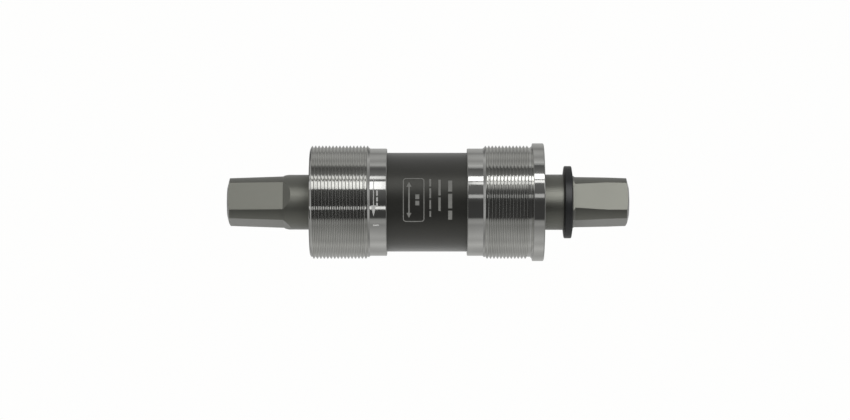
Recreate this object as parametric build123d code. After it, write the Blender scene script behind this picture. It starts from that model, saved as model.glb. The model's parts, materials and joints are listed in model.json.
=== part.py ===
from build123d import *

import math
import os

# A square-taper cartridge bottom bracket for a 68 mm bicycle frame shell, in millimetres.
# The spindle lies along X with the drive side at +X. The origin is the centre of the frame
# shell on the spindle's axis, and +Z is up. An outline is a list of (x, radius) points.

# ---- Driving dimensions ----
SHELL_WIDTH = 68.0                  # the frame shell that the bottom bracket fits, face to face
SPINDLE_LENGTH = 122.5
LEFT_PROJECTION = 25.0              # spindle beyond the shell's left face; the rest is at the right
SPINDLE_TURN = -16.5                # rest angle of the square ends about X, in degrees

THREAD_R = 17.3                     # crests of the 1.37 inch, 24 turns per inch frame threads
THREAD_PITCH = 25.4 / 24
THREAD_DEPTH = 0.65
THREAD_FLANK = 30.0                 # half of the thread's included angle, in degrees

TUBE_R = 15.1                       # black cartridge tube
TUBE_WALL = 1.0
TUBE_HALF_LENGTH = 27.0

BAND_R = 16.4                       # plain bands of both cups, inboard of their threads
FLANGE_R = 18.0
FLANGE_THICKNESS = 3.5

BALL_R = 3.969 / 2
BALL_COUNT = 10
BALL_PITCH_R = 11.3                 # radius of the circle through the balls' centres
BEARING_X = 20.0                    # distance of each bearing's centre from the shell's centre
BEARING_WIDTH = 8.0
SEAT_R = 8.5                        # spindle seats under the bearings' inner rings

# ---- Cups ----
SHELL_FACE = SHELL_WIDTH / 2
THREAD_ROOT_R = THREAD_R - THREAD_DEPTH
FLANK_RUN = THREAD_DEPTH * math.tan(math.radians(THREAD_FLANK))
CREST_FLAT = (THREAD_PITCH - 2 * FLANK_RUN) / 2
RELIEF_R = 16.7                     # undercut between the drive-side thread and its flange
SEAT_INNER_R = 17.4                 # where the flange's flat seat starts
SEAT_CONE = 0.6                     # length of the cone from the undercut to the seat
EDGE_CHAMFER = 0.3

RIGHT_BAND_START = 14.1
RIGHT_BAND_END = 18.9
RIGHT_FIRST_CREST = 19.62
RIGHT_RIDGES = 13
LEFT_BAND_START = 10.25
LEFT_BAND_END = 15.35
LEFT_FIRST_CREST = 16.09
LEFT_RIDGES = 17
LEFT_RECESS = 0.25                  # how far the left adapter's end face sits inside the shell
LEFT_NOSE_R = 16.1                  # outer edge of that end face
ADAPTER_CLEARANCE = 0.05            # the left adapter slides on the tube

SPLINE_TEETH = 20                   # internal splines for the fitting tool
SPLINE_TIP_R = 14.6
SPLINE_ROOT_R = 15.7
SPLINE_GROOVE = 2.3                 # width of each groove
STOP_R = 14.3                       # inner edge of the web that stops against the tube's end
RIGHT_STOP = 1.5                    # thickness of that web
LEFT_STOP = 0.6
LEFT_STOP_GAP = 0.3                 # room between the left web and the tube's end

# ---- Spindle ----
SPINDLE_LEFT = -SHELL_FACE - LEFT_PROJECTION
SPINDLE_RIGHT = SPINDLE_LEFT + SPINDLE_LENGTH
TAPER_ANGLE = 2.0                   # each flat of the square leans in by this, in degrees
TAPER_END_HALF = 12.68 / 2          # half of the square's width at the end face
TAPER_LENGTH = 17.1                 # length of each flat
RUN_OUT_R = 2.5                     # cutter radius at the root of each flat
RIGHT_STUB_R = 8.47
LEFT_STUB_R = 8.38
SHOULDER_R = 9.8                    # shoulders that the bearings' inner rings press against
SHOULDER_WIDTH = 3.0
SHOULDER_CONE = 1.6                 # length of the cone from each shoulder down to the waist
WAIST_R = 8.2                       # spindle between the shoulders
STUB_STEP_START = 29.0              # the left stub steps down between these two distances
STUB_STEP_END = 29.5
LEFT_CORNER_R = 8.17                # turned radius of the left square's corners at their root
LEFT_CORNER_STEP = 0.4
RIGHT_CORNER_R = 7.87               # turned radius of the right square's corners
RIGHT_CORNER_STEP = 0.6
RIGHT_CORNER_LEAD = 6.5             # the right square's corners lean in over this length
END_FLAT_R = 4.6
END_CONE = 0.8                      # length of the conical chamfer on each end
END_CORNER_R = 7.67                 # turned radius of the square's corners at the chamfer

BOLT_MINOR_R = 3.46                 # crests of the M8 x 1 crank bolt threads, as a plain wall
BOLT_HOLE_DEPTH = 22.0
BOLT_CONE_DEPTH = 2.0               # drill point below the hole
BOLT_COUNTERSINK = 0.85

# ---- Bearings and seals ----
TRACK_R = 2.05                      # groove radius, a little over the balls' own
TRACK_GAP = 0.03
INNER_LAND_R = 10.3
OUTER_LAND_R = 12.3
SEAL_SEAT_R = 12.9
SEAL_LIP_R = 12.7
SEAL_BORE_R = 10.35
SEAL_THICKNESS = 0.9
SEAL_DEPTH = 0.2                    # how far each bearing seal sits inside the ring's face
CAGE_INNER_R = 10.5
CAGE_OUTER_R = 12.1
CAGE_BACK = 2.6                     # closed side of the cage, from the balls' centres
CAGE_FRONT = 1.0                    # open side, with the mouths of the pockets
POCKET_R = 2.1
SPACER_WALL = 0.85
SPACER_GAP = 0.05

CASE_START = 24.2                   # pressed steel case of each end seal
CASE_END = 27.2
CASE_WALL = 0.6
CASE_WEB_START = 26.2
CASE_WEB_END = 26.8
CASE_WEB_R = 10.8
LIP_START = 25.4                    # rubber lip of each end seal
LIP_BORE_R = 8.52
LIP_COVER_R = 13.3

# ---- Rubber dust ring ----
RING_BASE = (43.4, 46.35)           # ends of the ring at its bore
RING_CREST = (43.4, 46.05)          # ends of the ring at its outside
RING_BORE_R = 8.5
RING_R = 11.05
RING_ROUND = 0.3


def mirrored(outline, side):
    """The outline as it is on the drive side (1) or on the left side (-1)."""
    return [(side * x, r) for x, r in outline]


def turned(outline):
    """A solid turned about the spindle's axis."""
    return revolve(make_face(Polyline(*outline, close=True)), Axis.X)


def thread_ridges(first_crest, count):
    """Outline points of round ridges at the thread's pitch, from the first crest outboard."""
    points = []
    for turn in range(count):
        crest = first_crest + turn * THREAD_PITCH
        points += [
            (crest - CREST_FLAT / 2 - FLANK_RUN, THREAD_ROOT_R),
            (crest - CREST_FLAT / 2, THREAD_R),
            (crest + CREST_FLAT / 2, THREAD_R),
            (crest + CREST_FLAT / 2 + FLANK_RUN, THREAD_ROOT_R),
        ]
    return points


def spline_cutter(start, end):
    """The grooves between the tool splines, from start to end along X."""
    reach = 2.0
    groove = Rectangle(reach, SPLINE_GROOVE)
    spokes = PolarLocations((SPLINE_TIP_R + SPLINE_ROOT_R) / 2, SPLINE_TEETH) * groove
    slots = extrude(Plane.YZ.offset(min(start, end)) * (Sketch() + spokes), abs(end - start))
    return slots & Plane.YZ.offset(min(start, end)) * Cylinder(
        SPLINE_ROOT_R, abs(end - start), align=(Align.CENTER, Align.CENTER, Align.MIN)
    )


def cup_inboard(band_start, band_end):
    """Outline of a cup's plain band, from its inboard edge to the foot of the thread."""
    return [
        (band_start, BAND_R - EDGE_CHAMFER),
        (band_start + EDGE_CHAMFER, BAND_R),
        (band_end, BAND_R),
        (band_end + THREAD_ROOT_R - BAND_R, THREAD_ROOT_R),
    ]


def drive_side_cup():
    """The flanged right cup, fixed on the tube."""
    mouth = SHELL_FACE + FLANGE_THICKNESS
    web_end = TUBE_HALF_LENGTH + RIGHT_STOP
    relief_start = RIGHT_FIRST_CREST + (RIGHT_RIDGES - 0.4) * THREAD_PITCH
    mouth_chamfer = 1.4
    outline = cup_inboard(RIGHT_BAND_START, RIGHT_BAND_END)
    outline += thread_ridges(RIGHT_FIRST_CREST, RIGHT_RIDGES)
    outline += [
        (relief_start, RELIEF_R),
        (SHELL_FACE - SEAT_CONE, RELIEF_R),
        (SHELL_FACE, SEAT_INNER_R),
        (SHELL_FACE, FLANGE_R - EDGE_CHAMFER),
        (SHELL_FACE + EDGE_CHAMFER, FLANGE_R),
        (mouth - EDGE_CHAMFER, FLANGE_R),
        (mouth, FLANGE_R - EDGE_CHAMFER),
        (mouth, SPLINE_TIP_R + mouth_chamfer),
        (mouth - mouth_chamfer, SPLINE_TIP_R),
        (web_end, SPLINE_TIP_R),
        (web_end, STOP_R),
        (TUBE_HALF_LENGTH, STOP_R),
        (TUBE_HALF_LENGTH, TUBE_R),
        (RIGHT_BAND_START, TUBE_R),
    ]
    return turned(outline) - spline_cutter(web_end, mouth + 1)


def left_adapter_cup():
    """The flangeless left adapter, which slides off the tube."""
    bore_r = TUBE_R + ADAPTER_CLEARANCE
    web_start = TUBE_HALF_LENGTH + LEFT_STOP_GAP
    web_end = web_start + LEFT_STOP
    mouth = SHELL_FACE - LEFT_RECESS
    mouth_chamfer = 0.7
    outline = cup_inboard(LEFT_BAND_START, LEFT_BAND_END)
    outline += thread_ridges(LEFT_FIRST_CREST, LEFT_RIDGES)
    outline += [
        (mouth, LEFT_NOSE_R),
        (mouth, SPLINE_TIP_R + mouth_chamfer),
        (mouth - mouth_chamfer, SPLINE_TIP_R),
        (web_end, SPLINE_TIP_R),
        (web_end, STOP_R),
        (web_start, STOP_R),
        (web_start, bore_r),
        (LEFT_BAND_START + EDGE_CHAMFER, bore_r),
        (LEFT_BAND_START, bore_r + EDGE_CHAMFER),
    ]
    return turned(mirrored(outline, -1)) - spline_cutter(-web_end, -mouth - 1)


def bolt_hole(end):
    """Outline of one crank bolt hole, from its drill point to its countersunk mouth."""
    depths = [
        (BOLT_HOLE_DEPTH + BOLT_CONE_DEPTH, 0.0),
        (BOLT_HOLE_DEPTH, BOLT_MINOR_R),
        (BOLT_COUNTERSINK, BOLT_MINOR_R),
        (0.0, BOLT_MINOR_R + BOLT_COUNTERSINK),
    ]
    inward = -math.copysign(1, end)
    return [(end + inward * depth, r) for depth, r in depths]


def flat_cutters(end):
    """Four cutters that leave the tapered square on one end of the spindle."""
    side = math.copysign(1, end)
    slope = math.tan(math.radians(TAPER_ANGLE))
    reach = 12.0
    overrun = 1.0
    root = (abs(end) - TAPER_LENGTH, TAPER_END_HALF + TAPER_LENGTH * slope)
    centre = (
        root[0] + RUN_OUT_R * math.sin(math.radians(TAPER_ANGLE)),
        root[1] + RUN_OUT_R * math.cos(math.radians(TAPER_ANGLE)),
    )
    outer_low = (abs(end) + overrun, TAPER_END_HALF - overrun * slope)
    outer_high = (abs(end) + overrun, reach)
    run_out = CenterArc(centre, RUN_OUT_R, -90 - TAPER_ANGLE, TAPER_ANGLE - 90)
    inner_high = (centre[0] - RUN_OUT_R, reach)
    edge = run_out + Polyline(run_out @ 1, inner_high, outer_high, outer_low, run_out @ 0)
    block = extrude(Plane.XZ * make_face(edge), reach, both=True)
    if side < 0:
        block = mirror(block, Plane.YZ)
    return [block.rotate(Axis.X, SPINDLE_TURN + quarter * 90) for quarter in range(4)]


def spindle():
    """The one-piece spindle, with its square ends, bearing seats and crank bolt holes."""
    seat_in = BEARING_X - BEARING_WIDTH / 2
    seat_out = BEARING_X + BEARING_WIDTH / 2
    shoulder_in = seat_in - SHOULDER_WIDTH
    right_root = SPINDLE_RIGHT - TAPER_LENGTH
    left_root = SPINDLE_LEFT + TAPER_LENGTH
    outline = bolt_hole(SPINDLE_LEFT)
    outline += [
        (SPINDLE_LEFT, END_FLAT_R),
        (SPINDLE_LEFT + END_CONE, END_CORNER_R),
        (left_root, LEFT_CORNER_R),
        (left_root + LEFT_CORNER_STEP, LEFT_STUB_R),
        (-STUB_STEP_END, LEFT_STUB_R),
        (-STUB_STEP_START, RIGHT_STUB_R),
        (-seat_out, RIGHT_STUB_R),
        (-seat_out, SEAT_R),
        (-seat_in, SEAT_R),
        (-seat_in, SHOULDER_R),
        (-shoulder_in, SHOULDER_R),
        (-shoulder_in + SHOULDER_CONE, WAIST_R),
        (shoulder_in - SHOULDER_CONE, WAIST_R),
        (shoulder_in, SHOULDER_R),
        (seat_in, SHOULDER_R),
        (seat_in, SEAT_R),
        (seat_out, SEAT_R),
        (seat_out, RIGHT_STUB_R),
        (right_root, RIGHT_STUB_R),
        (right_root + RIGHT_CORNER_STEP, RIGHT_CORNER_R),
        (SPINDLE_RIGHT - RIGHT_CORNER_LEAD, RIGHT_CORNER_R),
        (SPINDLE_RIGHT - END_CONE, END_CORNER_R),
        (SPINDLE_RIGHT, END_FLAT_R),
    ]
    outline += reversed(bolt_hole(SPINDLE_RIGHT))
    body = turned(outline)
    for cutter in flat_cutters(SPINDLE_LEFT) + flat_cutters(SPINDLE_RIGHT):
        body -= cutter
    return body


def cartridge_shell():
    """The black tube that holds both bearings and carries the cups."""
    bore_r = TUBE_R - TUBE_WALL
    lead = 0.25
    outline = [
        (-TUBE_HALF_LENGTH, bore_r),
        (-TUBE_HALF_LENGTH, TUBE_R - lead),
        (-TUBE_HALF_LENGTH + lead, TUBE_R),
        (TUBE_HALF_LENGTH, TUBE_R),
        (TUBE_HALF_LENGTH, bore_r),
    ]
    return turned(outline)


def bearing_spacer():
    """The thin sleeve that keeps the outer rings apart inside the tube."""
    outer_r = TUBE_R - TUBE_WALL - SPACER_GAP
    inner_r = outer_r - SPACER_WALL
    half = BEARING_X - BEARING_WIDTH / 2
    return turned([(-half, inner_r), (-half, outer_r), (half, outer_r), (half, inner_r)])


def track(centre_r):
    """A ball groove as a torus round the spindle's axis."""
    return Plane.YZ * Torus(centre_r, TRACK_R)


def inner_ring(side):
    """A bearing's inner ring, pressed on the spindle."""
    half = BEARING_WIDTH / 2
    ring = turned([(-half, SEAT_R), (-half, INNER_LAND_R), (half, INNER_LAND_R), (half, SEAT_R)])
    ring -= track(BALL_PITCH_R - BALL_R - TRACK_GAP + TRACK_R)
    return Pos(side * BEARING_X, 0, 0) * ring


def outer_ring(side):
    """A bearing's outer ring, with a groove for a seal near each face."""
    half = BEARING_WIDTH / 2
    outer_r = TUBE_R - TUBE_WALL
    seal_out = half - SEAL_DEPTH
    seal_in = seal_out - SEAL_THICKNESS
    outline = [(-half, outer_r), (half, outer_r)]
    outline += [
        (half, SEAL_LIP_R),
        (seal_out, SEAL_LIP_R),
        (seal_out, SEAL_SEAT_R),
        (seal_in, SEAL_SEAT_R),
        (seal_in, OUTER_LAND_R),
        (-seal_in, OUTER_LAND_R),
        (-seal_in, SEAL_SEAT_R),
        (-seal_out, SEAL_SEAT_R),
        (-seal_out, SEAL_LIP_R),
        (-half, SEAL_LIP_R),
    ]
    ring = turned(outline) - track(BALL_PITCH_R + BALL_R + TRACK_GAP - TRACK_R)
    return Pos(side * BEARING_X, 0, 0) * ring


def ball_places(side):
    """Centres of one bearing's balls."""
    step = 2 * math.pi / BALL_COUNT
    return [
        (side * BEARING_X, BALL_PITCH_R * math.cos(ball * step), BALL_PITCH_R * math.sin(ball * step))
        for ball in range(BALL_COUNT)
    ]


def balls(side):
    """One bearing's balls, as separate solids."""
    return Compound([Pos(*place) * Sphere(BALL_R) for place in ball_places(side)])


def cage(side):
    """The nylon crown cage that spaces the balls, open towards the middle."""
    outline = [
        (-CAGE_FRONT, CAGE_INNER_R),
        (-CAGE_FRONT, CAGE_OUTER_R),
        (CAGE_BACK, CAGE_OUTER_R),
        (CAGE_BACK, CAGE_INNER_R),
    ]
    ring = turned([(BEARING_X + x, r) for x, r in outline])
    for place in ball_places(1):
        ring -= Pos(*place) * Sphere(POCKET_R)
    return ring if side > 0 else mirror(ring, Plane.YZ)


def bearing_seal(side, facing):
    """A rubber bearing seal, with a thin web and a lip; facing is 1 outboard, -1 inboard."""
    out = BEARING_WIDTH / 2 - SEAL_DEPTH
    outline = [
        (out - SEAL_THICKNESS, SEAL_SEAT_R),
        (out, SEAL_SEAT_R),
        (out, SEAL_SEAT_R - 0.6),
        (out - 0.25, SEAL_SEAT_R - 0.7),
        (out - 0.25, SEAL_BORE_R + 0.4),
        (out, SEAL_BORE_R + 0.25),
        (out, SEAL_BORE_R),
        (out - SEAL_THICKNESS, SEAL_BORE_R),
    ]
    return turned([(side * (BEARING_X + facing * x), r) for x, r in outline])


def end_seal_case(side):
    """The pressed steel case of the seal that closes one end of the tube."""
    outer_r = TUBE_R - TUBE_WALL
    outline = [
        (CASE_START, outer_r),
        (CASE_END, outer_r),
        (CASE_END, outer_r - CASE_WALL),
        (CASE_WEB_END, outer_r - CASE_WALL),
        (CASE_WEB_END, CASE_WEB_R),
        (CASE_WEB_START, CASE_WEB_R),
        (CASE_WEB_START, outer_r - CASE_WALL),
        (CASE_START, outer_r - CASE_WALL),
    ]
    return turned(mirrored(outline, side))


def end_seal_lip(side):
    """The rubber moulded on that case, which runs on the spindle."""
    dish = 0.35
    outline = [
        (LIP_START, LIP_BORE_R),
        (LIP_START, LIP_BORE_R + 0.7),
        (CASE_WEB_START, CASE_WEB_R),
        (CASE_WEB_END, CASE_WEB_R),
        (CASE_WEB_END, LIP_COVER_R),
        (CASE_END, LIP_COVER_R),
        (CASE_END, CASE_WEB_R + dish),
        (CASE_END - dish / 2, CASE_WEB_R),
        (CASE_END - dish / 2, LIP_BORE_R + 1.0),
        (CASE_END, LIP_BORE_R + 1.0 - dish),
        (CASE_END, LIP_BORE_R),
    ]
    return turned(mirrored(outline, side))


def dust_ring():
    """The black rubber ring on the drive-side stub, with its outboard face leaning in."""
    section = make_face(
        Polyline(
            (RING_BASE[0], RING_BORE_R),
            (RING_CREST[0], RING_R),
            (RING_CREST[1], RING_R),
            (RING_BASE[1], RING_BORE_R),
            close=True,
        )
    )
    section = fillet(section.vertices().group_by(Axis.Y)[-1], RING_ROUND)
    return revolve(section, Axis.X)


nodes = {
    "spindle": spindle(),
    "spindle_dust_ring": dust_ring(),
    "cartridge_shell": cartridge_shell(),
    "drive_side_cup": drive_side_cup(),
    "left_adapter_cup": left_adapter_cup(),
    "bearing_spacer_sleeve": bearing_spacer(),
}
for side_name, side in (("right", 1), ("left", -1)):
    nodes[f"{side_name}_bearing_inner_ring"] = inner_ring(side)
    nodes[f"{side_name}_bearing_outer_ring"] = outer_ring(side)
    nodes[f"{side_name}_bearing_balls"] = balls(side)
    nodes[f"{side_name}_bearing_cage"] = cage(side)
    nodes[f"{side_name}_bearing_inboard_seal"] = bearing_seal(side, -1)
    nodes[f"{side_name}_bearing_outboard_seal"] = bearing_seal(side, 1)
    nodes[f"{side_name}_end_seal_case"] = end_seal_case(side)
    nodes[f"{side_name}_end_seal_lip"] = end_seal_lip(side)

os.makedirs("parts", exist_ok=True)
for name, shape in nodes.items():
    export_step(shape, f"parts/{name}.step")
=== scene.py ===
import json
import math

import bmesh
import bpy
import numpy as np
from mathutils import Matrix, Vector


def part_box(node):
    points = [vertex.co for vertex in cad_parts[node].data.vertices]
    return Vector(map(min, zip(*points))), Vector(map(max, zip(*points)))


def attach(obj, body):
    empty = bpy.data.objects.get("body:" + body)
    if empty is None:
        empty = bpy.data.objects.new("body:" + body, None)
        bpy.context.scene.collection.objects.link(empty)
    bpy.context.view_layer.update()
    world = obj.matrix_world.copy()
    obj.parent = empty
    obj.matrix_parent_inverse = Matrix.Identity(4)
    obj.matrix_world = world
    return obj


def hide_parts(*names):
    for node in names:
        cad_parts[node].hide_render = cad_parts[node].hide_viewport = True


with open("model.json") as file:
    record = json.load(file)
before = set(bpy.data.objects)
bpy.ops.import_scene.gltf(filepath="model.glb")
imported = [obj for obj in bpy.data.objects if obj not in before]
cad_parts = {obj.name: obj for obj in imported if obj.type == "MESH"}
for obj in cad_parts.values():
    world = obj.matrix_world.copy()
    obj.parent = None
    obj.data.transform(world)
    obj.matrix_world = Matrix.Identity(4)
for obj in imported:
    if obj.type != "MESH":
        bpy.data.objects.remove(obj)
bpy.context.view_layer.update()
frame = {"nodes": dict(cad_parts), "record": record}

# A square-taper cartridge bottom bracket. Sizes are in millimetres until a mesh is made, and
# the frame is in metres. An outline is a list of (distance along the axis, radius) points.
# "u" is a distance from the shell's centre towards one side, so x is u or -u.
MM = 0.001


def span(node):
    """A CAD node's lowest and highest corners, in millimetres."""
    low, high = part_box(node)
    return np.array(low) / MM, np.array(high) / MM


mounts = {mount["name"]: mount for mount in frame["record"]["mounts"]}

# ---- Frame threads ----
THREAD_R = mounts["frame_shell_thread"]["dims"]["r_mm"]
THREAD_PITCH = 25.4 / 24
THREAD_DEPTH = 0.65
THREAD_ROOT_R = THREAD_R - THREAD_DEPTH
FLANK_ANGLE = math.radians(30)

# ---- Tube ----
TUBE_R = span("cartridge_shell")[1][2]
TUBE_END = span("cartridge_shell")[1][0]
TUBE_BORE_R = TUBE_R - 1.0
ADAPTER_CLEARANCE = 0.05

# ---- Cups ----
BAND_R = 16.4
BAND_EDGE_ROUND = 0.28              # inboard edge
BAND_FOOT_ROUND = 0.05              # where the thread starts
FLANGE_R = 18.0
RELIEF_R = 16.7                     # turned between the thread and the flange's seat
RELIEF_WIDTH = 1.0
SEAT_CONE = 0.6                     # from the relief up to the flat seat
SEAT_INNER_R = 17.4
NOSE_R = 16.1
SHELL_FACE = mounts["drive_flange_seat"]["pos_m"][0] / MM
SPLINE_TEETH = 20
SPLINE_TIP_R = 14.6
SPLINE_ROOT_R = 15.7
SPLINE_GROOVE = 2.3
STOP_R = 14.3
# Along u: the end of the plain band, one crest, the end of the thread, and the web that stops
# against the tube. "fade" is the slope at which the thread's ridge ends.
DRIVE_SIDE_CUP = dict(
    band_end=18.9,
    crest=20.03,
    thread_end=32.95,
    fade=1.3,
    mouth_r=16.0,
    web=(TUBE_END, TUBE_END + 1.5),
    bore_r=TUBE_R,
)
LEFT_ADAPTER_CUP = dict(
    band_end=15.35,
    crest=16.48,
    thread_end=33.5,
    fade=1.6,
    mouth_r=15.3,
    web=(TUBE_END + 0.3, TUBE_END + 0.9),
    bore_r=TUBE_R + ADAPTER_CLEARANCE,
)

# ---- Spindle ----
SPINDLE_LEFT, SPINDLE_RIGHT = span("spindle")[0][0], span("spindle")[1][0]
SPINDLE_TURN = math.radians(-16.5)
TAPER_ANGLE = math.radians(2)
TAPER_END_HALF = 12.68 / 2          # half across the flats at the end face
TAPER_LENGTH = 17.1
RUN_OUT_ANGLE = math.radians(31)
END_FLAT_R = 4.6
END_CONE = 0.8
END_CORNER_R = 7.67
LEFT_STUB_R = 8.38
RIGHT_STUB_R = 8.47
LEFT_CORNER_R = 8.17                # the square's turned corners where they meet the stub
LEFT_CORNER_STEP = 0.4
RIGHT_CORNER_R = 7.87
RIGHT_CORNER_STEP = 0.6
RIGHT_CORNER_PLAIN = 6.5            # from the end to where the corners start to narrow
STUB_STEP = (29.0, 29.5)            # the left stub's short cone
BEARING_SEAT_R = 8.5
BEARING_SEAT = (16.0, 24.0)
SHOULDER_R = 9.8
SHOULDER_END = 13.0
WAIST_R = 8.2
WAIST_END = 11.4

# ---- Rubber ring ----
DUST_RING_BORE_R = 8.5

# ---- Crank bolt holes ----
BOLT_R = mounts["right_crank_bolt_hole"]["dims"]["r_mm"]
BOLT_PITCH = 1.0
BOLT_THREAD_DEPTH = 0.5
BOLT_THREAD_END = 19.0              # these three are distances in from the end face
BOLT_HOLE_DEPTH = 22.0
BOLT_CREST = 10.0
COUNTERSINK = 0.85
COUNTERSINK_LAND = 0.1              # plain bore between the countersink and the thread
DRILL_POINT = 2.0

# ---- End seals ----
SEAL_CASE = (24.2, 27.2)
SEAL_CASE_WALL = 0.6
SEAL_CASE_WEB = (26.2, 26.8)
SEAL_CASE_BORE_R = 10.8
SEAL_FACE_R = 13.3                  # the rubber on the web's outer side
SEAL_FACE_EDGE_R = 11.15
SEAL_DISH = 0.175
SEAL_LIP_START = 25.4
SEAL_LIP_R = 8.52
SEAL_LIP_OUTER_R = (9.22, 9.17)     # inboard and at the outer face
SEAL_DISH_INNER_R = 9.52

# ---- Printed marks ----
# Places are x and s, the height along the surface of the side that faces -Y.
INK_PROUD = 0.014
INK_SUNK = 0.01
BOX_X = (-5.2, 1.0)
BOX_S = (-6.0, 7.4)
BOX_CORNER = 0.8
BOX_LINE = 0.26
WIDTH_ARROW_X = -3.5
WIDTH_ARROW_S = (-3.6, 5.0)
WIDTH_ARROW_LINE = 0.45
WIDTH_ARROW_HEADS = ((6.2, 4.7), (-4.8, -3.3))      # tip and tail of each head
ARROW_HEAD = 1.5
ARROW_TIP = 0.05
# Rows of bars on the tube: x, width, and the ends of each bar.
TUBE_BARS = (
    (-1.0, 1.2, ((-1.0, 0.4), (0.9, 2.3))),
    (2.9, 0.5, ((-4.5, -2.7), (-2.1, 0.6), (1.2, 4.2), (4.8, 7.2))),
    (5.7, 0.7, ((-2.7, 1.4), (2.0, 7.0))),
    (8.9, 1.2, ((-5.4, -2.6), (-1.9, 2.5), (3.2, 6.7))),
)
TURN_ARROW_X = -14.15
TURN_ARROW_S = (7.4, -1.2)
TURN_ARROW_LINE = 0.24
TURN_ARROW_HEAD = (-1.0, -4.3)
ADAPTER_BARS_X = -13.1
ADAPTER_BARS = ((3.5, 1.9), (1.5, 0.2), (-0.2, -1.2))
ADAPTER_DASH_X = (-14.3, -12.6)
ADAPTER_DASH_S = -7.2
ADAPTER_BAR_WIDTH = 0.5

# ---- Mesh resolution ----
COLUMNS = 240                       # points round the cups and the tube
SMALL_COLUMNS = 180                 # points round the rubber ring and the end seals
GROOVE_COLUMNS = 3                  # from the middle of a spline groove to its edge
FLAT_COLUMNS = 12                   # across each flat of the spindle
CORNER_COLUMNS = 20                 # across each turned corner of the spindle
LEAST_FLAT = math.radians(5)        # half-angle kept for a flat's columns where it has run out
CORNER_EASE = math.radians(0.45)    # half of the angle rounded off each flat's edge
RUN_OUT_ROWS = 13                   # along the ramp where each flat runs out
FLAT_ROWS = 7                       # along each flat


# ---- Mesh building ----
def around(columns=COLUMNS):
    """Angles of evenly spaced columns about X."""
    return np.linspace(0, 2 * np.pi, columns, endpoint=False)


def ring(x, r, angles):
    """Points round the axis. x and r are numbers or one value for each angle."""
    return np.column_stack([x + 0 * angles, r * np.cos(angles), r * np.sin(angles)])


class Surface:
    """Sheets of quads in millimetres, welded into one closed mesh."""

    def __init__(self):
        self.points = []
        self.faces = []

    def sheet(self, rows, closed=True):
        """Adds a grid of points. A closed grid joins its last column to its first."""
        rows = np.asarray(rows, dtype=float)
        count, columns = rows.shape[:2]
        start = sum(len(block) for block in self.points)
        self.points.append(rows.reshape(-1, 3))
        index = start + np.arange(count * columns).reshape(count, columns)
        after = np.roll(index, -1, axis=1)
        last = columns if closed else columns - 1
        quads = [index[:-1, :last], after[:-1, :last], after[1:, :last], index[1:, :last]]
        self.faces += np.stack(quads, axis=-1).reshape(-1, 4).tolist()

    def build(self, name, body, material, node=None, sharp=32):
        """Welds the sheets into an object that rides on a body and may replace a CAD node."""
        mesh = bpy.data.meshes.new(name)
        points = np.concatenate(self.points) * MM
        mesh.from_pydata(points.tolist(), [], self.faces)
        made = bmesh.new()
        made.from_mesh(mesh)
        bmesh.ops.remove_doubles(made, verts=made.verts, dist=2e-7)
        bmesh.ops.dissolve_degenerate(made, edges=made.edges, dist=1e-8)
        bmesh.ops.recalc_face_normals(made, faces=made.faces)
        made.to_mesh(mesh)
        made.free()
        mesh.shade_smooth()
        mesh.set_sharp_from_angle(angle=math.radians(sharp))
        mesh.materials.append(material)
        piece = bpy.data.objects.new(name, mesh)
        bpy.context.scene.collection.objects.link(piece)
        weighted = piece.modifiers.new("weighted_normals", "WEIGHTED_NORMAL")
        weighted.keep_sharp = True
        weighted.weight = 100
        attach(piece, body)
        if node:
            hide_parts(node)
        return piece


def eased(corners, steps=4):
    """A closed outline of (u, r, radius) corners, with each radius turned into an arc."""
    points = []
    for i, (u, r, radius) in enumerate(corners):
        corner = np.array([u, r])
        if not radius:
            points.append(corner)
            continue
        back = np.array(corners[i - 1][:2]) - corner
        ahead = np.array(corners[(i + 1) % len(corners)][:2]) - corner
        back /= np.linalg.norm(back)
        ahead /= np.linalg.norm(ahead)
        half = math.acos(np.clip(back @ ahead, -1, 1)) / 2
        middle = (back + ahead) / np.linalg.norm(back + ahead)
        centre = corner + middle * radius / math.sin(half)
        start = corner + back * radius / math.tan(half) - centre
        end = corner + ahead * radius / math.tan(half) - centre
        first = math.atan2(start[1], start[0])
        turn = (math.atan2(end[1], end[0]) - first + np.pi) % (2 * np.pi) - np.pi
        for step in range(steps + 1):
            angle = first + turn * step / steps
            points.append(centre + radius * np.array([math.cos(angle), math.sin(angle)]))
    return points


def lathe(outline, side=1, columns=COLUMNS):
    """Rings for a closed outline of (u, r, radius) corners."""
    angles = around(columns)
    rows = [ring(side * u, r, angles) for u, r in eased(outline)]
    return rows + rows[:1]


def thread_profile(pitch, depth, top):
    """One pitch of a ridge as (offset, height) points, foot to foot, with eased corners."""
    run = depth * math.tan(FLANK_ANGLE)
    ease = 0.07
    rise = [
        (-top / 2 - run * (1 + ease), 0.0),
        (-top / 2 - run * (1 - ease), depth * ease),
        (-top / 2 - run * ease, depth * (1 - ease)),
        (-top / 2 + min(run * ease, top / 4), depth),
    ]
    return [(-pitch / 2, 0.0)] + rise + [(-offset, height) for offset, height in reversed(rise)]


def helical_rows(start, end, crest, pitch, profile, base_r, slopes, side, hand, angles):
    """Rows that follow a helix from u = start to u = end, right-handed (hand 1) or left-handed
    (hand -1). The ridge stands on base_r and fades in and out at the two slopes. The last column
    is the first one, moved along by a pitch."""
    turns = np.append(angles, angles[0] + 2 * np.pi)
    advance = hand * side * pitch * (turns - angles[0]) / (2 * np.pi)
    first = math.floor((start - crest) / pitch) - 1
    last = math.ceil((end - crest) / pitch) + 2
    rows = []
    for turn in range(first, last + 1):
        for offset, height in profile:
            u = np.clip(crest + turn * pitch + offset + advance, start, end)
            fade = np.minimum((u - start) * slopes[0], (end - u) * slopes[1])
            rows.append(ring(side * u, base_r + np.minimum(height, fade), turns))
    return rows


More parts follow.
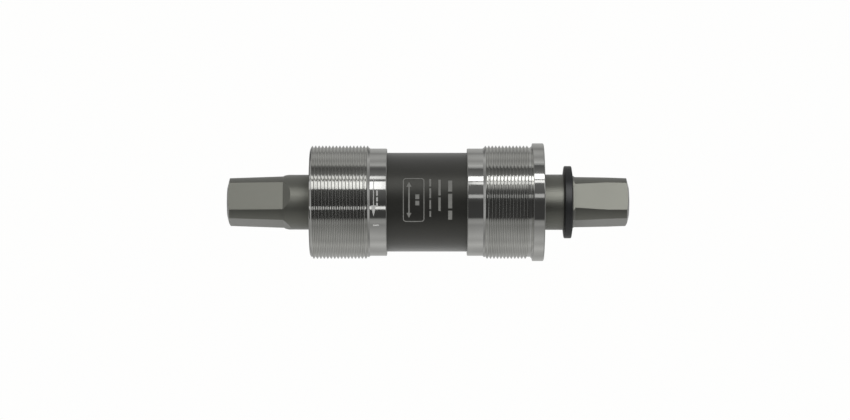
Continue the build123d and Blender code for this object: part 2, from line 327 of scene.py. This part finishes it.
# ---- Cups ----
def spline_points():
    """Angle and radius of each column round the tool splines, on the cups' columns."""
    per_tooth = COLUMNS // SPLINE_TEETH
    tip_half = math.asin(SPLINE_GROOVE / 2 / SPLINE_TIP_R)
    root_half = math.asin(SPLINE_GROOVE / 2 / SPLINE_ROOT_R)
    angles = around().copy()
    radii = np.full(COLUMNS, SPLINE_TIP_R)
    step = 2 * np.pi / COLUMNS
    for tooth in range(SPLINE_TEETH):
        middle = tooth * per_tooth
        for offset in range(-GROOVE_COLUMNS, GROOVE_COLUMNS + 1):
            column = (middle + offset) % COLUMNS
            sign = np.sign(offset)
            if abs(offset) == GROOVE_COLUMNS:
                angles[column] = middle * step + sign * tip_half
            else:
                angles[column] = middle * step + offset / (GROOVE_COLUMNS - 1) * root_half
                radii[column] = SPLINE_ROOT_R
    return angles, radii


def band_corners(band_start, band_end, thread_foot):
    """A cup's plain band, from its inboard edge to the foot of the thread."""
    return [
        (band_start, BAND_R, BAND_EDGE_ROUND),
        (band_end, BAND_R, BAND_FOOT_ROUND),
        (thread_foot, THREAD_ROOT_R, 0),
    ]


def cup(
    node, side, body, outer_corners, material,
    *, band_end, crest, thread_end, fade, mouth_r, web, bore_r,
):
    """A threaded cup: band, helical thread, outer end, mouth, tool splines, web and bore. The
    drive side's thread is left-handed, and the other side's right-handed."""
    low, high = span(node)
    band_start, mouth = sorted(abs(x) for x in (low[0], high[0]))
    web_start, web_end = web
    angles = around()
    thread_foot = band_end + THREAD_ROOT_R - BAND_R
    crest_width = THREAD_PITCH / 2 - THREAD_DEPTH * math.tan(FLANK_ANGLE)
    profile = thread_profile(THREAD_PITCH, THREAD_DEPTH, crest_width)
    outline = band_corners(band_start, band_end, thread_foot)
    outline += [(thread_end, THREAD_ROOT_R, 0)] + outer_corners(mouth) + [(mouth, mouth_r, 0.1)]
    outline += [(web_end, STOP_R, 0), (web_start, STOP_R, 0)]
    outline += [(web_start, bore_r, 0), (band_start, bore_r, 0.2)]
    points = eased(outline)
    foot, tail, web_row = (
        next(i for i, point in enumerate(points) if abs(point[0] - u) < 1e-6)
        for u in (thread_foot, thread_end, web_end)
    )

    def turned(part):
        return [ring(side * u, r, angles) for u, r in part]

    made = Surface()
    made.sheet(turned(points[: foot + 1]))
    slopes = (1.0, fade)
    thread = helical_rows(
        thread_foot, thread_end, crest, THREAD_PITCH, profile, THREAD_ROOT_R, slopes, side, -side, angles
    )
    made.sheet(thread, closed=False)
    made.sheet(turned(points[tail:web_row]))
    spline_angles, radii = spline_points()
    rim_u, rim_r = points[web_row - 1]
    splines = [
        ring(side * rim_u, rim_r, angles),
        ring(side * rim_u, np.maximum(rim_r, radii), spline_angles),
        ring(side * (rim_u - np.maximum(rim_r - radii, 0)), radii, spline_angles),
        ring(side * web_end, radii, spline_angles),
        ring(side * web_end, STOP_R, angles),
    ]
    made.sheet(splines)
    made.sheet(turned(points[web_row:] + points[:1]))
    return made.build(f"{node}_detailed", body, material, node)


def flange_corners(mouth):
    """The drive-side cup from its relief to the rim of its mouth."""
    return [
        (SHELL_FACE - RELIEF_WIDTH, RELIEF_R, 0),
        (SHELL_FACE - SEAT_CONE, RELIEF_R, 0.3),
        (SHELL_FACE, SEAT_INNER_R, 0),
        (SHELL_FACE, FLANGE_R, 0.25),
        (mouth, FLANGE_R, 0.35),
    ]


def nose_corners(mouth):
    """The outer edge of the left adapter's end face."""
    return [(mouth, NOSE_R, 0.12)]


# ---- Spindle ----
def square_ring(x, turned_r, flat_half):
    """A ring of the spindle: turned to turned_r, with four flats at flat_half from the axis."""
    half = math.acos(min(1.0, flat_half / turned_r)) if flat_half else 0.0
    half = max(half, LEAST_FLAT)
    flat = np.linspace(CORNER_EASE - half, half - CORNER_EASE, FLAT_COLUMNS + 1)
    corner = np.linspace(half + CORNER_EASE, np.pi / 2 - half - CORNER_EASE, CORNER_COLUMNS + 1)
    flat_r = np.full(flat.shape, turned_r)
    if flat_half:
        flat_r = np.minimum(turned_r, flat_half / np.cos(flat))
    quarter_angles = np.concatenate([flat, corner])
    quarter_r = np.concatenate([flat_r, np.full(corner.shape, turned_r)])
    angles = np.concatenate([quarter_angles + SPINDLE_TURN + k * np.pi / 2 for k in range(4)])
    return ring(x, np.tile(quarter_r, 4), angles)


def taper_rows(end, turned):
    """Rings of one square end, from its stub out to its end face. turned is the turned
    outline as (u, radius) points, and its last two points are the conical chamfer."""
    side = math.copysign(1, end)
    reach = abs(end)
    slope = math.tan(TAPER_ANGLE)
    root = reach - TAPER_LENGTH
    root_half = TAPER_END_HALF + TAPER_LENGTH * slope
    ramp = (turned[0][1] - root_half) / math.tan(RUN_OUT_ANGLE)
    places, radii = zip(*turned)
    rows = []

    def add(u, flat_half):
        rows.append(square_ring(side * u, float(np.interp(u, places, radii)), flat_half))

    for step in np.linspace(1, 0, RUN_OUT_ROWS):
        add(root - ramp * step, root_half + ramp * step * math.tan(RUN_OUT_ANGLE))
    turned_places = {u for u in places if root < u < reach - 0.5}
    for u in sorted(turned_places | set(np.linspace(root + 1.5, reach - 2.5, FLAT_ROWS))):
        add(u, TAPER_END_HALF + (reach - u) * slope)
    (cone_u, cone_r), (_, end_r) = turned[-2:]
    for angle in np.radians([30, 25, 20, 15, 10, 5]):
        cut_r = TAPER_END_HALF / math.cos(angle)
        u = cone_u + (reach - cone_u) * (cone_r - cut_r) / (cone_r - end_r)
        add(u, TAPER_END_HALF + (reach - u) * slope)
    rows.append(square_ring(end, end_r, None))
    return rows


def bolt_hole_rows(end, face_r):
    """Rings of a threaded crank bolt hole, from the end face in to the drill point."""
    side = math.copysign(1, end)
    reach = abs(end)
    angles = np.arctan2(*np.flip(square_ring(0, face_r, None)[:, 1:], axis=1).T)
    angles = np.unwrap(angles)
    profile = thread_profile(BOLT_PITCH, BOLT_THREAD_DEPTH, BOLT_PITCH / 8)
    thread_start = reach - BOLT_THREAD_END
    thread_end = reach - COUNTERSINK - COUNTERSINK_LAND
    before = [
        ring(end, face_r, angles),
        ring(end, BOLT_R + COUNTERSINK, angles),
        ring(side * (reach - COUNTERSINK), BOLT_R, angles),
        ring(side * thread_end, BOLT_R, angles),
    ]
    crest, slopes = reach - BOLT_CREST, (1.0, 1.5)
    helix = helical_rows(
        thread_start, thread_end, crest, BOLT_PITCH, profile, BOLT_R, slopes, side, 1, angles
    )
    after = [
        ring(side * thread_start, BOLT_R, angles),
        ring(side * (reach - BOLT_HOLE_DEPTH), BOLT_R, angles),
        ring(side * (reach - BOLT_HOLE_DEPTH - DRILL_POINT), 0.0, angles),
    ]
    return before, helix, after


def spindle(material):
    """The spindle, from drill point to drill point."""
    left_root = abs(SPINDLE_LEFT) - TAPER_LENGTH
    right_root = SPINDLE_RIGHT - TAPER_LENGTH
    left_turned = [
        (left_root - 4, LEFT_STUB_R),
        (left_root - LEFT_CORNER_STEP, LEFT_STUB_R),
        (left_root, LEFT_CORNER_R),
        (abs(SPINDLE_LEFT) - END_CONE, END_CORNER_R),
        (abs(SPINDLE_LEFT), END_FLAT_R),
    ]
    right_turned = [
        (right_root - 4, RIGHT_STUB_R),
        (right_root, RIGHT_STUB_R),
        (right_root + RIGHT_CORNER_STEP, RIGHT_CORNER_R),
        (SPINDLE_RIGHT - RIGHT_CORNER_PLAIN, RIGHT_CORNER_R),
        (SPINDLE_RIGHT - END_CONE, END_CORNER_R),
        (SPINDLE_RIGHT, END_FLAT_R),
    ]
    seat_start, seat_end = BEARING_SEAT
    half = [
        (WAIST_END, WAIST_R),
        (SHOULDER_END, SHOULDER_R),
        (seat_start, SHOULDER_R),
        (seat_start, BEARING_SEAT_R),
        (seat_end, BEARING_SEAT_R),
        (seat_end, RIGHT_STUB_R),
    ]
    middle = [(-STUB_STEP[1], LEFT_STUB_R), (-STUB_STEP[0], RIGHT_STUB_R)]
    middle += [(-u, r) for u, r in reversed(half)] + half
    made = Surface()
    rows = list(reversed(taper_rows(SPINDLE_LEFT, left_turned)))
    rows += [square_ring(x, r, None) for x, r in middle]
    rows += taper_rows(SPINDLE_RIGHT, right_turned)
    made.sheet(rows)
    for end in (SPINDLE_LEFT, SPINDLE_RIGHT):
        before, helix, after = bolt_hole_rows(end, END_FLAT_R)
        made.sheet(before)
        made.sheet(helix, closed=False)
        made.sheet(after)
    return made.build("spindle_detailed", "spindle_body", material, "spindle", sharp=28)


# ---- Turned pieces ----
def tube(material):
    """The black cartridge tube."""
    start, end = span("cartridge_shell")[0][0], TUBE_END
    made = Surface()
    outline = [
        (start, TUBE_BORE_R, 0),
        (start, TUBE_R, 0.25),
        (end, TUBE_R, 0.1),
        (end, TUBE_BORE_R, 0),
    ]
    made.sheet(lathe(outline))
    return made.build("cartridge_tube", "cartridge", material, "cartridge_shell")


def dust_ring(material):
    """The black rubber ring on the drive-side stub."""
    low, high = span("spindle_dust_ring")
    made = Surface()
    outline = [
        (low[0], DUST_RING_BORE_R, 0.12),
        (low[0] + 0.35, high[2], 0.32),
        (high[0] - 0.4, high[2], 0.32),
        (high[0], DUST_RING_BORE_R, 0.12),
    ]
    made.sheet(lathe(outline, columns=SMALL_COLUMNS))
    return made.build(
        "dust_ring_detailed", "dust_ring", material, "spindle_dust_ring"
    )


def end_seal(side, name, steel, rubber):
    """The pressed case and the rubber lip that close one end of the tube."""
    case_start, case_end = SEAL_CASE
    web_start, web_end = SEAL_CASE_WEB
    inner_r = TUBE_BORE_R - SEAL_CASE_WALL
    case = [
        (case_start, TUBE_BORE_R, 0.1),
        (case_end, TUBE_BORE_R, 0.25),
        (case_end, inner_r, 0.1),
        (web_end, inner_r, 0),
        (web_end, SEAL_CASE_BORE_R, 0),
        (web_start, SEAL_CASE_BORE_R, 0),
        (web_start, inner_r, 0.2),
        (case_start, inner_r, 0.1),
    ]
    lip = [
        (SEAL_LIP_START, SEAL_LIP_R, 0),
        (SEAL_LIP_START, SEAL_LIP_OUTER_R[0], 0.1),
        (web_start, SEAL_CASE_BORE_R, 0),
        (web_end, SEAL_CASE_BORE_R, 0),
        (web_end, SEAL_FACE_R, 0),
        (case_end, SEAL_FACE_R, 0.12),
        (case_end, SEAL_FACE_EDGE_R, 0.2),
        (case_end - SEAL_DISH, SEAL_CASE_BORE_R, 0.2),
        (case_end - SEAL_DISH, SEAL_DISH_INNER_R, 0.2),
        (case_end, SEAL_LIP_OUTER_R[1], 0.2),
        (case_end, SEAL_LIP_R, 0.1),
    ]
    for outline, kind, slot, material in (
        (case, "case", "plain_steel", steel),
        (lip, "lip", "seal_rubber", rubber),
    ):
        made = Surface()
        made.sheet(lathe(outline, side, columns=SMALL_COLUMNS))
        node = f"{name}_end_seal_{kind}"
        made.build(f"{node}_detailed", "cartridge", material, node)


# ---- Printed marks ----
def ribbon(made, path, widths, r, closed=False):
    """A thin raised strip on a cylinder. The path is (x, height up the side that faces -Y)."""
    path = np.array(path, dtype=float)
    ahead = np.roll(path, -1, axis=0) - np.roll(path, 1, axis=0)
    if not closed:
        ahead[0], ahead[-1] = path[1] - path[0], path[-1] - path[-2]
    ahead /= np.linalg.norm(ahead, axis=1)[:, None]
    half = np.broadcast_to(widths, len(path))[:, None] / 2
    across = np.column_stack([-ahead[:, 1], ahead[:, 0]]) * half
    rows = []
    for place, offset in zip(path, across):
        left, right = place + offset, place - offset
        edges = [(left, INK_PROUD), (right, INK_PROUD), (right, -INK_SUNK), (left, -INK_SUNK)]
        rows.append([on_side(point, r + lift) for point, lift in edges])
    if closed:
        rows.append(rows[0])
    else:
        rows = [[on_side(path[0], r)] * 4] + rows + [[on_side(path[-1], r)] * 4]
    made.sheet(rows)


def on_side(point, r):
    """A point of the side that faces -Y, from its x and its height along the surface."""
    x, height = point
    return (x, -r * math.cos(height / r), r * math.sin(height / r))


def line(x0, s0, x1, s1, step=0.4):
    """Evenly spaced points between two places on the surface."""
    count = max(2, int(math.hypot(x1 - x0, s1 - s0) / step) + 1)
    return list(zip(np.linspace(x0, x1, count), np.linspace(s0, s1, count)))


def rounded_box(x0, x1, s0, s1, radius):
    """A closed path round a box with rounded corners."""
    path = []
    corners = ((x1, s1, 0), (x0, s1, 90), (x0, s0, 180), (x1, s0, 270))
    for x, s, turn in corners:
        centre_x = x - math.copysign(radius, x - (x0 + x1) / 2)
        centre_s = s - math.copysign(radius, s - (s0 + s1) / 2)
        for angle in np.radians(turn + np.array([0, 22.5, 45, 67.5, 90])):
            path.append((centre_x + radius * math.cos(angle), centre_s + radius * math.sin(angle)))
    full = []
    for here, after in zip(path, path[1:] + path[:1]):
        full += line(*here, *after)[:-1]
    return full


def tube_print(material):
    """Generic marks on the tube: a size box with a width arrow, and plain bars."""
    made = Surface()
    ribbon(made, rounded_box(*BOX_X, *BOX_S, BOX_CORNER), BOX_LINE, TUBE_R, closed=True)
    start, end = WIDTH_ARROW_S
    ribbon(made, line(WIDTH_ARROW_X, start, WIDTH_ARROW_X, end), WIDTH_ARROW_LINE, TUBE_R)
    for tip, tail in WIDTH_ARROW_HEADS:
        head = line(WIDTH_ARROW_X, tail, WIDTH_ARROW_X, tip, 0.25)
        ribbon(made, head, np.linspace(ARROW_HEAD, ARROW_TIP, len(head)), TUBE_R)
    for x, width, bars in TUBE_BARS:
        for start, end in bars:
            ribbon(made, line(x, start, x, end), width, TUBE_R)
    return made.build("tube_marks", "cartridge", material)


def adapter_print(material):
    """Generic marks on the left adapter's band: a turning arrow, plain bars and a dash."""
    made = Surface()
    start, end = TURN_ARROW_S
    ribbon(made, line(TURN_ARROW_X, start, TURN_ARROW_X, end), TURN_ARROW_LINE, BAND_R)
    tail, tip = TURN_ARROW_HEAD
    head = line(TURN_ARROW_X, tail, TURN_ARROW_X, tip, 0.3)
    ribbon(made, head, np.linspace(ARROW_HEAD, ARROW_TIP, len(head)), BAND_R)
    for start, end in ADAPTER_BARS:
        ribbon(made, line(ADAPTER_BARS_X, start, ADAPTER_BARS_X, end), ADAPTER_BAR_WIDTH, BAND_R)
    start, end = ADAPTER_DASH_X
    ribbon(made, line(start, ADAPTER_DASH_S, end, ADAPTER_DASH_S, 0.3), ADAPTER_BAR_WIDTH, BAND_R)
    return made.build("adapter_marks", "left_adapter", material)


# ---- Materials ----
class Look:
    """A node material with its Principled shader, in object coordinates in metres."""

    def __init__(self, name):
        self.material = bpy.data.materials.new(name)
        self.material.use_nodes = True
        self.tree = self.material.node_tree
        self.shader = self.tree.nodes["Principled BSDF"]
        self.where = self.add("ShaderNodeTexCoord").outputs["Object"]

    def add(self, kind, **settings):
        node = self.tree.nodes.new(kind)
        for key, value in settings.items():
            setattr(node, key, value)
        return node

    def set(self, **values):
        """Sets shader inputs by name, with underscores for spaces."""
        for key, value in values.items():
            self.shader.inputs[key.replace("_", " ")].default_value = value

    def join(self, source, target):
        self.tree.links.new(source, target)

    def noise(self, stretch, detail=3.0, roughness=0.55):
        """Noise with its features stretched: stretch is features per metre along X, Y and Z."""
        mapping = self.add("ShaderNodeMapping")
        mapping.inputs["Scale"].default_value = stretch
        self.join(self.where, mapping.inputs["Vector"])
        noise = self.add("ShaderNodeTexNoise")
        noise.inputs["Scale"].default_value = 1.0
        noise.inputs["Detail"].default_value = detail
        noise.inputs["Roughness"].default_value = roughness
        self.join(mapping.outputs["Vector"], noise.inputs["Vector"])
        return noise.outputs["Fac"]

    def spread(self, source, low, high, start=0.3, end=0.7):
        """The source remapped to lie between low and high."""
        remap = self.add("ShaderNodeMapRange")
        for key, value in (("From Min", start), ("From Max", end), ("To Min", low), ("To Max", high)):
            remap.inputs[key].default_value = value
        self.join(source, remap.inputs["Value"])
        return remap.outputs["Result"]

    def tint(self, source, dark, light):
        """A colour between dark and light, by the source."""
        ramp = self.add("ShaderNodeValToRGB")
        ramp.color_ramp.elements[0].color = (*dark, 1)
        ramp.color_ramp.elements[1].color = (*light, 1)
        ramp.color_ramp.elements[0].position = 0.3
        ramp.color_ramp.elements[1].position = 0.7
        self.join(source, ramp.inputs["Fac"])
        self.join(ramp.outputs["Color"], self.shader.inputs["Base Color"])

    def bump(self, source, height, strength=1.0):
        """Relief of the given height in metres, added to any relief already there."""
        bump = self.add("ShaderNodeBump")
        bump.inputs["Distance"].default_value = height
        bump.inputs["Strength"].default_value = strength
        self.join(source, bump.inputs["Height"])
        normal = self.shader.inputs["Normal"]
        if normal.links:
            self.join(normal.links[0].from_socket, bump.inputs["Normal"])
        self.join(bump.outputs["Normal"], normal)


def plated_steel():
    """Bright plating over turned steel, with fine marks round the circumference."""
    look = Look("bright_plated_steel")
    look.set(Metallic=1.0)
    cloud = look.noise((90, 90, 90))
    lines = look.noise((9000, 60, 60), detail=2.0)
    look.tint(cloud, (0.70, 0.70, 0.678), (0.80, 0.80, 0.778))
    look.join(look.spread(cloud, 0.07, 0.11), look.shader.inputs["Roughness"])
    look.bump(lines, 0.0000006, 0.5)
    return look.material


def black_coating():
    """Semi-matte black coating with a faint grain."""
    look = Look("black_tube_coating")
    grain = look.noise((2500, 2500, 2500), detail=2.0)
    cloud = look.noise((70, 70, 70))
    look.set(Metallic=1.0, Coat_Weight=1.0, Coat_Roughness=0.38, Sheen_Weight=1.0, Sheen_Roughness=0.46)
    look.tint(cloud, (0.062, 0.062, 0.053), (0.073, 0.073, 0.062))
    look.join(look.spread(cloud, 0.42, 0.50), look.shader.inputs["Roughness"])
    look.bump(grain, 0.000006, 0.4)
    return look.material


def satin_steel():
    """Satin spindle steel, with fine turned and milled marks."""
    look = Look("satin_spindle_steel")
    look.set(Metallic=1.0, Coat_Weight=1.0, Coat_Roughness=0.42, Sheen_Weight=0.65, Sheen_Roughness=0.5)
    cloud = look.noise((60, 60, 60))
    lines = look.noise((7000, 80, 80), detail=2.0)
    look.tint(cloud, (0.205, 0.207, 0.178), (0.236, 0.238, 0.206))
    look.join(look.spread(cloud, 0.38, 0.45), look.shader.inputs["Roughness"])
    look.bump(lines, 0.000001, 0.4)
    return look.material


def ring_rubber():
    """Black rubber with a fine moulded grain."""
    look = Look("black_ring_rubber")
    grain = look.noise((3500, 3500, 3500), detail=3.0)
    look.tint(grain, (0.012, 0.013, 0.014), (0.026, 0.028, 0.030))
    look.set(Roughness=0.36, IOR=1.60)
    look.bump(grain, 0.00003, 0.5)
    return look.material


def simple(name, dark, light, roughness, metallic=0.0, grain=800, height=0.000005):
    """A hidden or nearly hidden piece's material, with a little colour and surface variation."""
    look = Look(name)
    cloud = look.noise((grain, grain, grain))
    look.tint(cloud, dark, light)
    look.set(Metallic=metallic, Roughness=roughness)
    look.bump(cloud, height, 0.5)
    return look.material


def print_ink(name, dark, light):
    """Pale pad-printed ink, slightly worn."""
    return simple(name, dark, light, 0.55, grain=2500)


# ---- Surroundings ----
# Radiance round the X axis, by elevation in degrees: 0 is the camera's side, 90 is overhead and
# 180 is behind the object.
BANDS = [
    (-180, 0.42), (-158, 0.46), (-144, 0.42), (-132, 0.37), (-118, 0.40), (-104, 0.50),
    (-90, 0.38), (-78, 0.42), (-64, 0.34), (-50, 0.26), (-44, 0.33), (-37, 0.28),
    (-34, 0.05), (0, 0.045), (12, 0.08), (28, 0.12), (60, 0.15), (76, 0.09), (81, 0.14),
    (86, 0.44), (98, 0.30), (110, 0.40), (120, 0.36), (128, 0.25), (138, 0.37),
    (160, 0.42), (180, 0.42),
]
# Radiance towards the sides, by the same elevation.
SIDES = [
    (-180, 0.12), (-166, 0.22), (-150, 0.42), (-128, 0.20), (-106, 0.28), (-90, 0.25),
    (-46, 0.22), (-36, 0.05), (0, 0.035), (26, 0.05), (34, 0.60), (52, 0.62), (64, 0.20),
    (74, 0.12), (82, 0.12), (88, 0.30), (104, 0.24), (120, 0.22), (138, 0.44),
    (152, 0.16), (166, 0.09), (180, 0.12),
]
SIDE_BAND = (0.10, 0.42)            # the bands give way to the sides between these |x|
END_BAND = (0.91, 0.98)             # and the sides to an even grey towards the two ends
END_RADIANCE = 0.40
BACKDROP = (0.99, 0.99, 0.985)      # what the camera sees behind the object

# Soft boxes that face the spindle's axis: start and end along X in metres, lowest and highest
# elevation in degrees, and radiance. The end keys fall on the spindle and the rubber ring alone.
# Each of the others is named for its own side, and spares the other side's cup.
SOFT_BOX_DISTANCE = 0.5
SOFT_BOXES = {
    "left_key": (-0.20, -0.010, 27.0, 44.0, 1.4),
    "left_upper_key": (-0.20, -0.010, 49.5, 56.5, 0.9),
    "left_low_line": (-0.16, -0.002, -15.0, -9.0, 1.0),
    "right_key": (0.010, 0.20, 45.5, 55.5, 1.9),
    "right_lower_key": (0.018, 0.20, 37.5, 43.0, 1.1),
    "right_end_key": (0.045, 0.22, 8.0, 43.5, 2.5),
    "left_end_key": (-0.22, -0.04, 4.0, 26.0, 0.5),
    "right_low_line": (0.002, 0.16, 8.5, 15.5, 0.42),
    "right_overhead": (0.002, 0.20, 76.5, 84.0, 0.2),
}

# The floor, in metres, and the light that falls on it alone.
FLOOR_R = 0.42
FLOOR_DROP = 0.12
FLOOR_WASH = 1.1
FLOOR_WASH_SIZE = 1.4
FLOOR_WASH_HEIGHT = 0.7

# The camera, in metres, and its lens in millimetres.
EYE = (0.00132, -0.920, -0.00239)
LENS = 127.4
SENSOR_WIDTH = 36.0


def area_light(name, size, radiance, location, tilt, only=(), spared=()):
    """A rectangular light that the camera doesn't see. It falls on everything, on a few objects
    only, or on everything but the spared ones."""
    data = bpy.data.lights.new(name, "AREA")
    data.shape = "RECTANGLE"
    data.size, data.size_y = size
    data.energy = radiance * math.pi * data.size * data.size_y
    light = bpy.data.objects.new(name, data)
    light.location = location
    light.rotation_euler = (tilt, 0, 0)
    light.visible_camera = False
    if only or spared:
        linked = bpy.data.collections.new(f"linked_to_{name}")
        for thing in (*only, *spared):
            linked.objects.link(thing)
        for entry in linked.collection_objects:
            entry.light_linking.link_state = "EXCLUDE" if spared else "INCLUDE"
        light.light_linking.receiver_collection = linked
    bpy.context.scene.collection.objects.link(light)


def soft_boxes(spindle_pieces, left_cup, right_cup):
    """The soft boxes. spindle_pieces are the ones that the end keys fall on."""
    for name, (start, end, low, high, radiance) in SOFT_BOXES.items():
        height = 2 * SOFT_BOX_DISTANCE * math.tan(math.radians(high - low) / 2)
        middle = math.radians((low + high) / 2)
        out, up = SOFT_BOX_DISTANCE * math.cos(middle), SOFT_BOX_DISTANCE * math.sin(middle)
        place = ((start + end) / 2, -out, up)
        only = spindle_pieces if "end_key" in name else ()
        spared = () if only else [right_cup if name.startswith("left") else left_cup]
        area_light(name, (end - start, height), radiance, place, math.pi / 2 - middle, only, spared)


def surroundings():
    """A soft studio in bands of light and dark about the X axis, white behind the object."""
    world = bpy.data.worlds.new("studio")
    bpy.context.scene.world = world
    world.use_nodes = True
    tree = world.node_tree
    tree.nodes.clear()

    def add(kind, **settings):
        node = tree.nodes.new(kind)
        for key, value in settings.items():
            setattr(node, key, value)
        return node

    def math_node(operation, first, second=None):
        node = add("ShaderNodeMath", operation=operation)
        tree.links.new(first, node.inputs[0])
        if isinstance(second, float):
            node.inputs[1].default_value = second
        elif second is not None:
            tree.links.new(second, node.inputs[1])
        return node.outputs[0]

    def remap(source, start, end, smooth=False):
        node = add("ShaderNodeMapRange")
        if smooth:
            node.interpolation_type = "SMOOTHSTEP"
        node.inputs["From Min"].default_value = start
        node.inputs["From Max"].default_value = end
        tree.links.new(source, node.inputs["Value"])
        return node.outputs["Result"]

    def ramp(source, levels):
        node = add("ShaderNodeValToRGB")
        stops = node.color_ramp.elements
        stops.remove(stops[1])
        low, high = levels[0][0], levels[-1][0]
        for i, (place, level) in enumerate(levels):
            stop = stops[0] if i == 0 else stops.new((place - low) / (high - low))
            stop.color = (level, level, level * 0.985, 1)
        tree.links.new(remap(source, low, high), node.inputs["Fac"])
        return node.outputs["Color"]

    def blend(factor, first, second):
        node = add("ShaderNodeMix", data_type="RGBA")
        tree.links.new(factor, node.inputs["Factor"])
        tree.links.new(first, node.inputs[6])
        if isinstance(second, tuple):
            node.inputs[7].default_value = second
        else:
            tree.links.new(second, node.inputs[7])
        return node.outputs[2]

    direction = add("ShaderNodeTexCoord").outputs["Generated"]
    split = add("ShaderNodeSeparateXYZ")
    tree.links.new(direction, split.inputs[0])
    toward = math_node("MULTIPLY", split.outputs["Y"], -1.0)
    elevation = math_node("DEGREES", math_node("ARCTAN2", split.outputs["Z"], toward))
    sideways = math_node("ABSOLUTE", split.outputs["X"])
    bands = ramp(elevation, BANDS)
    sides = ramp(elevation, SIDES)
    around_axis = blend(remap(sideways, *SIDE_BAND, smooth=True), bands, sides)
    grey = (END_RADIANCE, END_RADIANCE, END_RADIANCE, 1)
    colour = blend(remap(sideways, *END_BAND, smooth=True), around_axis, grey)

    studio = add("ShaderNodeBackground")
    tree.links.new(colour, studio.inputs["Color"])
    backdrop = add("ShaderNodeBackground")
    backdrop.inputs["Color"].default_value = (*BACKDROP, 1)
    seen = add("ShaderNodeLightPath").outputs["Is Camera Ray"]
    mix = add("ShaderNodeMixShader")
    tree.links.new(seen, mix.inputs["Fac"])
    tree.links.new(studio.outputs[0], mix.inputs[1])
    tree.links.new(backdrop.outputs[0], mix.inputs[2])
    out = add("ShaderNodeOutputWorld")
    tree.links.new(mix.outputs[0], out.inputs["Surface"])


def pale_floor():
    """A round pale floor well below the object, with a wash of light of its own."""
    made = bmesh.new()
    bmesh.ops.create_circle(made, cap_ends=True, radius=FLOOR_R, segments=128)
    mesh = bpy.data.meshes.new("floor")
    made.to_mesh(mesh)
    made.free()
    floor = bpy.data.objects.new("floor", mesh)
    floor.location = (0, 0, -FLOOR_DROP)
    floor.visible_glossy = False
    bpy.context.scene.collection.objects.link(floor)
    look = Look("pale_floor")
    cloud = look.noise((6, 6, 6))
    look.tint(cloud, (0.80, 0.80, 0.79), (0.84, 0.84, 0.83))
    look.set(Roughness=0.8)
    mesh.materials.append(look.material)
    wash_size = (FLOOR_WASH_SIZE, FLOOR_WASH_SIZE)
    area_light("floor_wash", wash_size, FLOOR_WASH, (0, 0, FLOOR_WASH_HEIGHT), 0, [floor])


def camera():
    """A long lens level with the object, looking along +Y."""
    data = bpy.data.cameras.new("camera")
    data.lens = LENS
    data.sensor_width = SENSOR_WIDTH
    data.clip_start = 0.05
    eye = bpy.data.objects.new("camera", data)
    eye.location = EYE
    eye.rotation_euler = (math.pi / 2, 0, 0)
    bpy.context.scene.collection.objects.link(eye)
    bpy.context.scene.camera = eye


# ---- The scene ----
plated = plated_steel()
coating = black_coating()
satin = satin_steel()
plain = simple("plain_steel", (0.36, 0.36, 0.35), (0.46, 0.46, 0.45), 0.3, metallic=1.0)
seal_rubber = simple("seal_rubber", (0.015, 0.015, 0.016), (0.028, 0.028, 0.029), 0.5, grain=2500)
ground = simple("ground_bearing_steel", (0.55, 0.55, 0.54), (0.62, 0.62, 0.61), 0.18, metallic=1.0)
polished = simple(
    "polished_balls", (0.66, 0.66, 0.66), (0.70, 0.70, 0.70), 0.06, metallic=1.0, height=0.0000005
)
nylon = simple("natural_nylon", (0.62, 0.59, 0.50), (0.70, 0.67, 0.58), 0.5, grain=1500)

right_cup = cup("drive_side_cup", 1, "cartridge", flange_corners, plated, **DRIVE_SIDE_CUP)
left_cup = cup("left_adapter_cup", -1, "left_adapter", nose_corners, plated, **LEFT_ADAPTER_CUP)
spindle_pieces = [spindle(satin), dust_ring(ring_rubber())]
tube(coating)
for side_name, side in (("right", 1), ("left", -1)):
    end_seal(side, side_name, plain, seal_rubber)
tube_print(print_ink("tube_ink", (0.36, 0.36, 0.34), (0.44, 0.44, 0.42)))
adapter_print(print_ink("adapter_ink", (0.88, 0.88, 0.87), (0.95, 0.95, 0.94)))

hidden = {"inner_ring": ground, "outer_ring": ground, "balls": polished, "cage": nylon}
for name, node in frame["nodes"].items():
    kind = next((material for part, material in hidden.items() if name.endswith(part)), None)
    if "seal" in name:
        kind = seal_rubber
    if name == "bearing_spacer_sleeve":
        kind = plain
    if kind:
        node.data.materials.clear()
        node.data.materials.append(kind)

surroundings()
soft_boxes(spindle_pieces, left_cup, right_cup)
pale_floor()
camera()
bpy.context.scene.view_settings.view_transform = "Standard"
